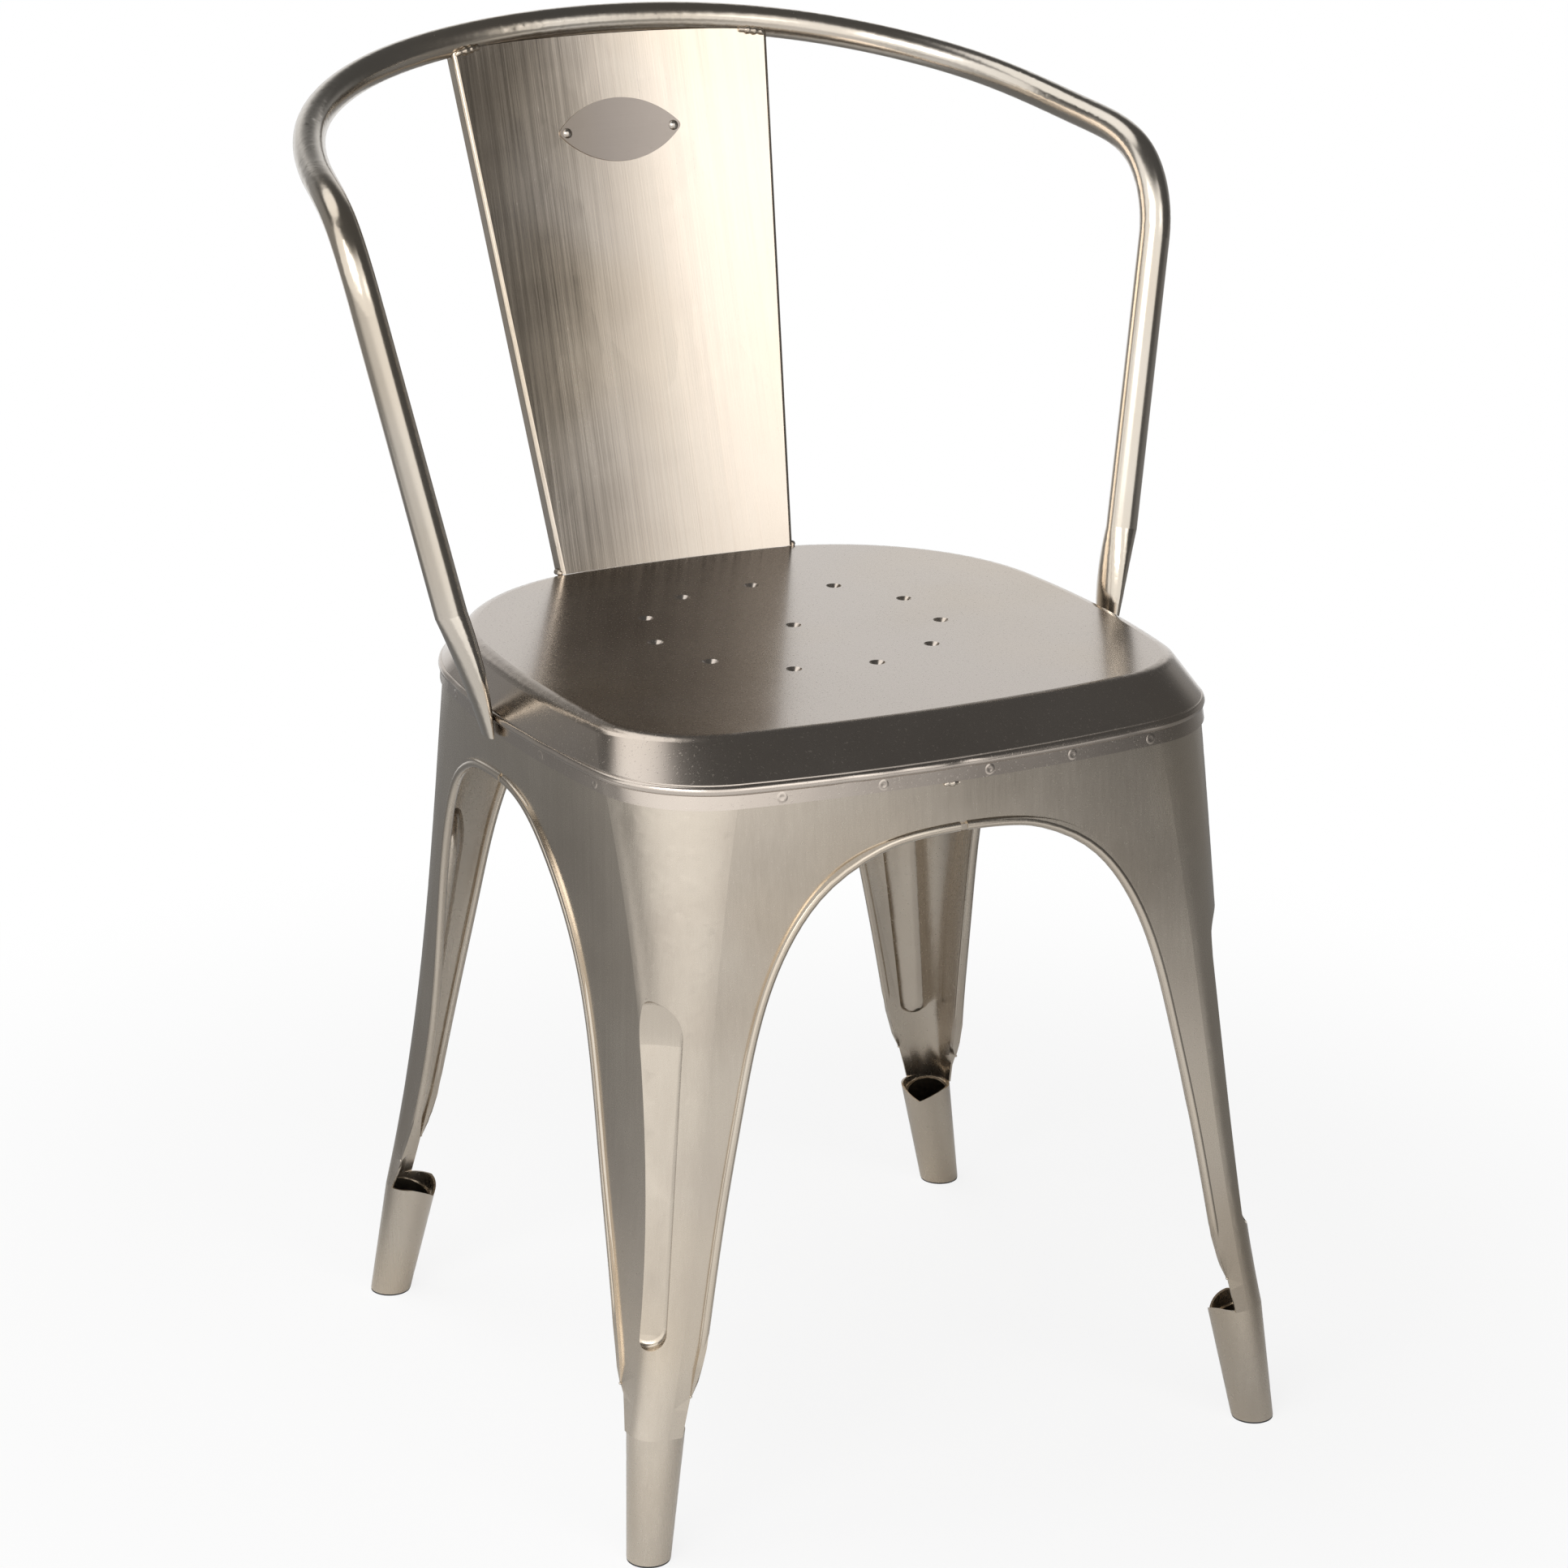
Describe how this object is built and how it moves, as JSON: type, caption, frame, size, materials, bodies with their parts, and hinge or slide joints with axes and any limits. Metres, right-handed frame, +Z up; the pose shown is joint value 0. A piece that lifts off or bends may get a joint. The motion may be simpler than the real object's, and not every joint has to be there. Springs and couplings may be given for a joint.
{
  "type": "dining armchair",
  "caption": "Bare steel dining armchair: pressed legs with arched aprons, dished-edge seat pan with drain holes, one bent tube as back hoop and arms, and a leaning sheet back splat.",
  "frame": {"origin": "on the floor, under the middle of the overall box", "axes": "+Z up; the chair faces -Y; +X is the sitter's left arm, on the right of the picture"},
  "size_m": [0.5129, 0.4883, 0.7548],
  "materials": {
    "pressed_sheet": "brushed bare steel under clear lacquer",
    "tube_steel": "polished bare steel under clear lacquer",
    "brace_steel": "plain rolled bar, lacquered",
    "rivet_steel": "bright",
    "plate_steel": "satin, bare",
    "foot_rubber": "matte"
  },
  "bodies": {
    "root": {"seat_pan": "pressed_sheet", "back_splat": "pressed_sheet", "leg_front_left": "pressed_sheet", "leg_front_right": "pressed_sheet", "leg_rear_left": "pressed_sheet", "leg_rear_right": "pressed_sheet", "back_hoop": "tube_steel", "foot_sleeve_front_left": "tube_steel", "foot_sleeve_front_right": "tube_steel", "foot_sleeve_rear_left": "tube_steel", "foot_sleeve_rear_right": "tube_steel", "foot_plug_front_left": "foot_rubber", "foot_plug_front_right": "foot_rubber", "foot_plug_rear_left": "foot_rubber", "foot_plug_rear_right": "foot_rubber", "brace_lower": "brace_steel", "brace_upper": "brace_steel", "brace_rivet": "rivet_steel", "name_plate": "plate_steel", "plate_rivets": "rivet_steel"}
  },
  "joints": []
}
